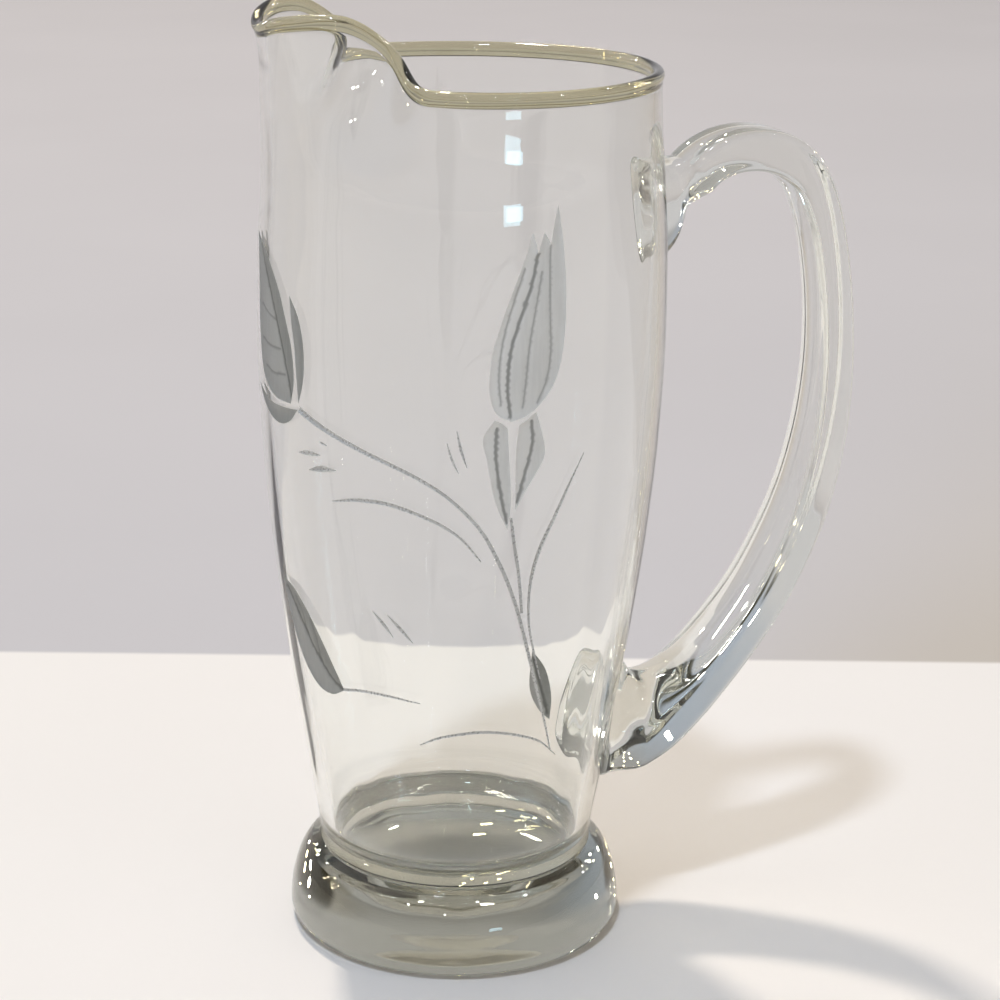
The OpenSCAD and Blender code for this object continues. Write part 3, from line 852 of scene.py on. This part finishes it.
def floor_material():
    k = Nodes("floor_paper")
    co = k.new("ShaderNodeTexCoord").outputs["Object"]
    p = k.new("ShaderNodeBsdfPrincipled")
    dot = k.new("ShaderNodeVectorMath", operation="DOT_PRODUCT")
    k.link(co, dot.inputs[0])
    dot.inputs[1].default_value = (AWAY[0] - 0.0206 * RIGHT[0], AWAY[1] - 0.0206 * RIGHT[1], 0)
    far = k.ramp(dot.outputs["Value"], 0.1965, 0.2005, 0.0, 1.0)
    mix = k.new("ShaderNodeMix", data_type="RGBA")
    k.link(far, mix.inputs[0])
    mix.inputs[6].default_value = (0.915, 0.865, 0.815, 1)
    # painted shadow: the far wall is painted a little warmer and darker towards the right
    across = k.new("ShaderNodeVectorMath", operation="DOT_PRODUCT")
    k.link(co, across.inputs[0])
    across.inputs[1].default_value = (RIGHT[0], RIGHT[1], 0)
    wall = k.new("ShaderNodeMix", data_type="RGBA")
    k.link(k.ramp(k.math("DIVIDE", across.outputs["Value"], dot.outputs["Value"]), 0.25, 0.95, 0.0, 1.0), wall.inputs[0])
    wall.inputs[6].default_value = (0.595, 0.568, 0.575, 1)
    wall.inputs[7].default_value = (0.570, 0.515, 0.455, 1)
    k.link(wall.outputs[2], mix.inputs[7])
    cloud = k.noise(co, 3.0, 3.0, 0.5)
    tone = k.new("ShaderNodeMix", data_type="RGBA", blend_type="MULTIPLY")
    tone.inputs[0].default_value = 1.0
    k.link(mix.outputs[2], tone.inputs[6])
    val = k.math("MULTIPLY", k.ramp(cloud, 0.3, 0.7, 0.975, 1.0), k.ramp(dot.outputs["Value"], 0.2, 2.6, 1.0, 1.0))
    comb = k.new("ShaderNodeCombineColor")
    for i in range(3):
        k.link(val, comb.inputs[i])
    k.link(comb.outputs[0], tone.inputs[7])
    k.link(tone.outputs[2], p.inputs["Base Color"])
    p.inputs["Roughness"].default_value = 0.75
    p.inputs["Specular IOR Level"].default_value = 0.25
    k.link(k.bump(k.noise(co, 160.0, 3.0, 0.5), 1.0, 0.00003), p.inputs["Normal"])
    # far beyond the lamps the floor is made to glow faintly: painted light that keeps its tone even, so no dark strip
    # lies along the horizon
    dist = k.new("ShaderNodeVectorMath", operation="LENGTH")
    k.link(co, dist.inputs[0])
    p.inputs["Emission Color"].default_value = (0.62, 0.605, 0.62, 1)
    k.link(k.ramp(dist.outputs["Value"], 2.7, 8.0, 0.0, 0.60), p.inputs["Emission Strength"])
    k.link(p.outputs[0], k.out.inputs["Surface"])
    k.mat.cycles.emission_sampling = "NONE"
    return k.mat


S = 9.0
fl = bpy.data.meshes.new("floor")
fl.from_pydata([(-S, -S, -0.0003), (S, -S, -0.0003), (S, S, -0.0003), (-S, S, -0.0003)], [], [(0, 1, 2, 3)])
fl.materials.append(floor_material())
floor_ob = bpy.data.objects.new("floor", fl)
bpy.context.scene.collection.objects.link(floor_ob)

# ------------------------------------------------------------------ camera
cam = bpy.data.cameras.new("camera")
cam.sensor_width = 36.0
cam.lens = 92.34
cam.clip_start, cam.clip_end = 0.01, 50.0
cam_ob = bpy.data.objects.new("camera", cam)
bpy.context.scene.collection.objects.link(cam_ob)
fwd = Vector((0.29536, 0.90901, -0.29404)).normalized()
side = Vector((RIGHT[0], RIGHT[1], 0))
up = side.cross(fwd).normalized()
rot = Matrix((side, up, -fwd)).transposed()
cam_ob.matrix_world = Matrix.Translation((-0.1924, -0.6272, 0.3211)) @ rot.to_4x4() @ Matrix.Rotation(math.radians(1.05), 4, "Z")
bpy.context.scene.camera = cam_ob


# ------------------------------------------------------------------ light
def row_xyz(right, away, z):
    return Vector((RIGHT[0] * right + AWAY[0] * away, RIGHT[1] * right + AWAY[1] * away, z))


def area(name, pos, aim, size, watts, colour=(1, 1, 1), size_y=None, diffuse=True):
    l = bpy.data.lights.new(name, "AREA")
    l.energy = watts
    l.color = colour
    l.shape = "RECTANGLE" if size_y else "SQUARE"
    l.size = size
    if size_y:
        l.size_y = size_y
    o = bpy.data.objects.new(name, l)
    o.location = pos
    o.rotation_euler = (Vector(aim) - Vector(pos)).to_track_quat("-Z", "Y").to_euler()
    o.visible_diffuse = diffuse
    bpy.context.scene.collection.objects.link(o)
    return o


def disc(name, pos, size, watts, colour=(1, 1, 1)):
    o = area(name, pos, (0, 0, 0.1), size, watts, colour, diffuse=False)
    o.data.shape = "DISK"
    return o


MIDDLE = (0.01, 0, 0.10)
# a cool lamp high at the front left and a warm one high at the back; both are soft, and each throws its own pale shadow
cool = area("cool_lamp", row_xyz(-0.74, -2.02, 4.95), MIDDLE, 0.40, 84.0, (0.80, 0.94, 1.16))
warm = area("warm_lamp", row_xyz(-1.02, 2.55, 4.68), MIDDLE, 0.42, 119.0, (1.08, 0.985, 0.865))
# a window behind the camera, and small lamps for the points of light
q = row_xyz(1.09, -1.967, 0.13)
window = area("window", q, q * 0.2 + Vector((0, 0, 0.13 * 0.8)), 0.36, 0.9, (0.55, 0.85, 1.0), size_y=0.091, diffuse=False)
points = []
for n, q in enumerate(((-1.75, 1.50, 0.72), (-2.0, 1.2, 1.05), (-1.45, 1.75, 0.95), (1.8, 1.45, 0.80), (2.05, 1.05, 0.95), (1.6, 1.55, 1.15),
                       (-0.2, -2.1, 1.1), (-1.1, -1.5, 1.5), (0.5, -1.2, 1.9), (1.5, -0.6, 1.7), (0.4, 0.9, 2.1), (-0.9, 0.4, 2.2), (1.2, 0.8, 1.6))):
    points.append(disc("point_%d" % n, row_xyz(*q), 0.08, 2.2, (1.0, 0.97, 0.90)))
# small warm lamps, most of them inside the two dark parts of the room, for the gold sparkles in the foot
for n, (d, u, v) in enumerate([(d, u, v) for d in ((0.78, 0.60, 0.38), (-0.97, 0.17, 0.32), (-0.18, 0.86, 0.66))
                               for u, v in ((0.02, 0.05), (-0.10, 0.02), (0.11, -0.03), (-0.04, -0.10), (0.07, 0.12), (-0.13, 0.11))]):
    e = Vector(d).normalized()
    s = Vector((-e.y, e.x, 0)).normalized()
    q = (e + u * s + v * s.cross(e)) * 2.6
    points.append(disc("spark_%d" % n, row_xyz(*q), 0.055, 0.9, (1.0, 0.88, 0.55)))
for o in [cool, warm, window] + points:
    o.visible_camera = False

w = bpy.data.worlds.new("studio")
bpy.context.scene.world = w
w.use_nodes = True
nt = w.node_tree
nt.nodes.clear()
wo = nt.nodes.new("ShaderNodeOutputWorld")
bg = nt.nodes.new("ShaderNodeBackground")
nt.links.new(bg.outputs[0], wo.inputs["Surface"])
tc = nt.nodes.new("ShaderNodeTexCoord").outputs["Generated"]


def wmath(op, a, b=None, clamp=False):
    n = nt.nodes.new("ShaderNodeMath")
    n.operation = op
    n.use_clamp = clamp
    for i, v in enumerate((a, b)):
        if v is None:
            continue
        if isinstance(v, (int, float)):
            n.inputs[i].default_value = v
        else:
            nt.links.new(v, n.inputs[i])
    return n.outputs[0]


def lobe(direction, inner, outer):
    """1 inside a cone round a direction, 0 outside it; the cosines of its inner and outer half angles."""
    d = Vector(direction).normalized()
    n = nt.nodes.new("ShaderNodeVectorMath")
    n.operation = "DOT_PRODUCT"
    nt.links.new(tc, n.inputs[0])
    n.inputs[1].default_value = d
    m = nt.nodes.new("ShaderNodeMapRange")
    m.interpolation_type = "SMOOTHSTEP"
    nt.links.new(n.outputs["Value"], m.inputs["Value"])
    for key, v in zip(("From Min", "From Max", "To Min", "To Max"), (outer, inner, 0.0, 1.0)):
        m.inputs[key].default_value = v
    return m.outputs[0]


def blend(fac, a, b):
    n = nt.nodes.new("ShaderNodeMix")
    n.data_type = "RGBA"
    nt.links.new(fac, n.inputs[0])
    for i, v in ((6, a), (7, b)):
        if isinstance(v, tuple):
            n.inputs[i].default_value = v + (1,)
        else:
            nt.links.new(v, n.inputs[i])
    return n.outputs[2]


sep = nt.nodes.new("ShaderNodeSeparateXYZ")
nt.links.new(tc, sep.inputs[0])
high = nt.nodes.new("ShaderNodeMapRange")
high.interpolation_type = "SMOOTHSTEP"
nt.links.new(sep.outputs["Z"], high.inputs["Value"])
for key, v in zip(("From Min", "From Max", "To Min", "To Max"), (0.30, 0.85, 0.0, 1.0)):
    high.inputs[key].default_value = v
sky = blend(high.outputs[0], (0.42, 0.41, 0.405), (0.52, 0.51, 0.49))
low = nt.nodes.new("ShaderNodeMapRange")
low.interpolation_type = "SMOOTHSTEP"
nt.links.new(sep.outputs["Z"], low.inputs["Value"])
for key, v in zip(("From Min", "From Max", "To Min", "To Max"), (0.15, 0.32, 1.0, 0.0)):
    low.inputs[key].default_value = v
# cooler light from the left, warmer from the right, and the darker parts of a room, which the thick glass bends into its edges
for d, c0, c1, col in (((-1.0, 0.1, 0.35), 0.90, 0.40, (0.50, 0.56, 0.66)), ((1.0, 0.2, 0.35), 0.90, 0.45, (0.62, 0.57, 0.50)),
                       ((0.78, 0.60, 0.38), 0.966, 0.945, (0.055, 0.047, 0.02)), ((-0.97, 0.17, 0.32), 0.962, 0.935, (0.055, 0.050, 0.025)),
                       ((0.9, 0.30, 0.75), 0.955, 0.90, (0.16, 0.13, 0.09))):
    sky = blend(lobe(row_xyz(*d), c0, c1), sky, col)
sky = blend(low.outputs[0], sky, (0.75, 0.735, 0.745))
nt.links.new(sky, bg.inputs["Color"])
bg.inputs["Strength"].default_value = 0.82

sc = bpy.context.scene
sc.view_settings.view_transform = "Standard"
sc.view_settings.look = "None"
sc.view_settings.exposure = 0.0
sc.view_settings.gamma = 1.0
sc.cycles.max_bounces = 24
sc.cycles.transmission_bounces = 20
sc.cycles.glossy_bounces = 8
sc.cycles.diffuse_bounces = 3
sc.cycles.volume_bounces = 0
sc.cycles.sample_clamp_indirect = 30.0
sc.cycles.blur_glossy = 0.6
sc.cycles.use_denoising = True
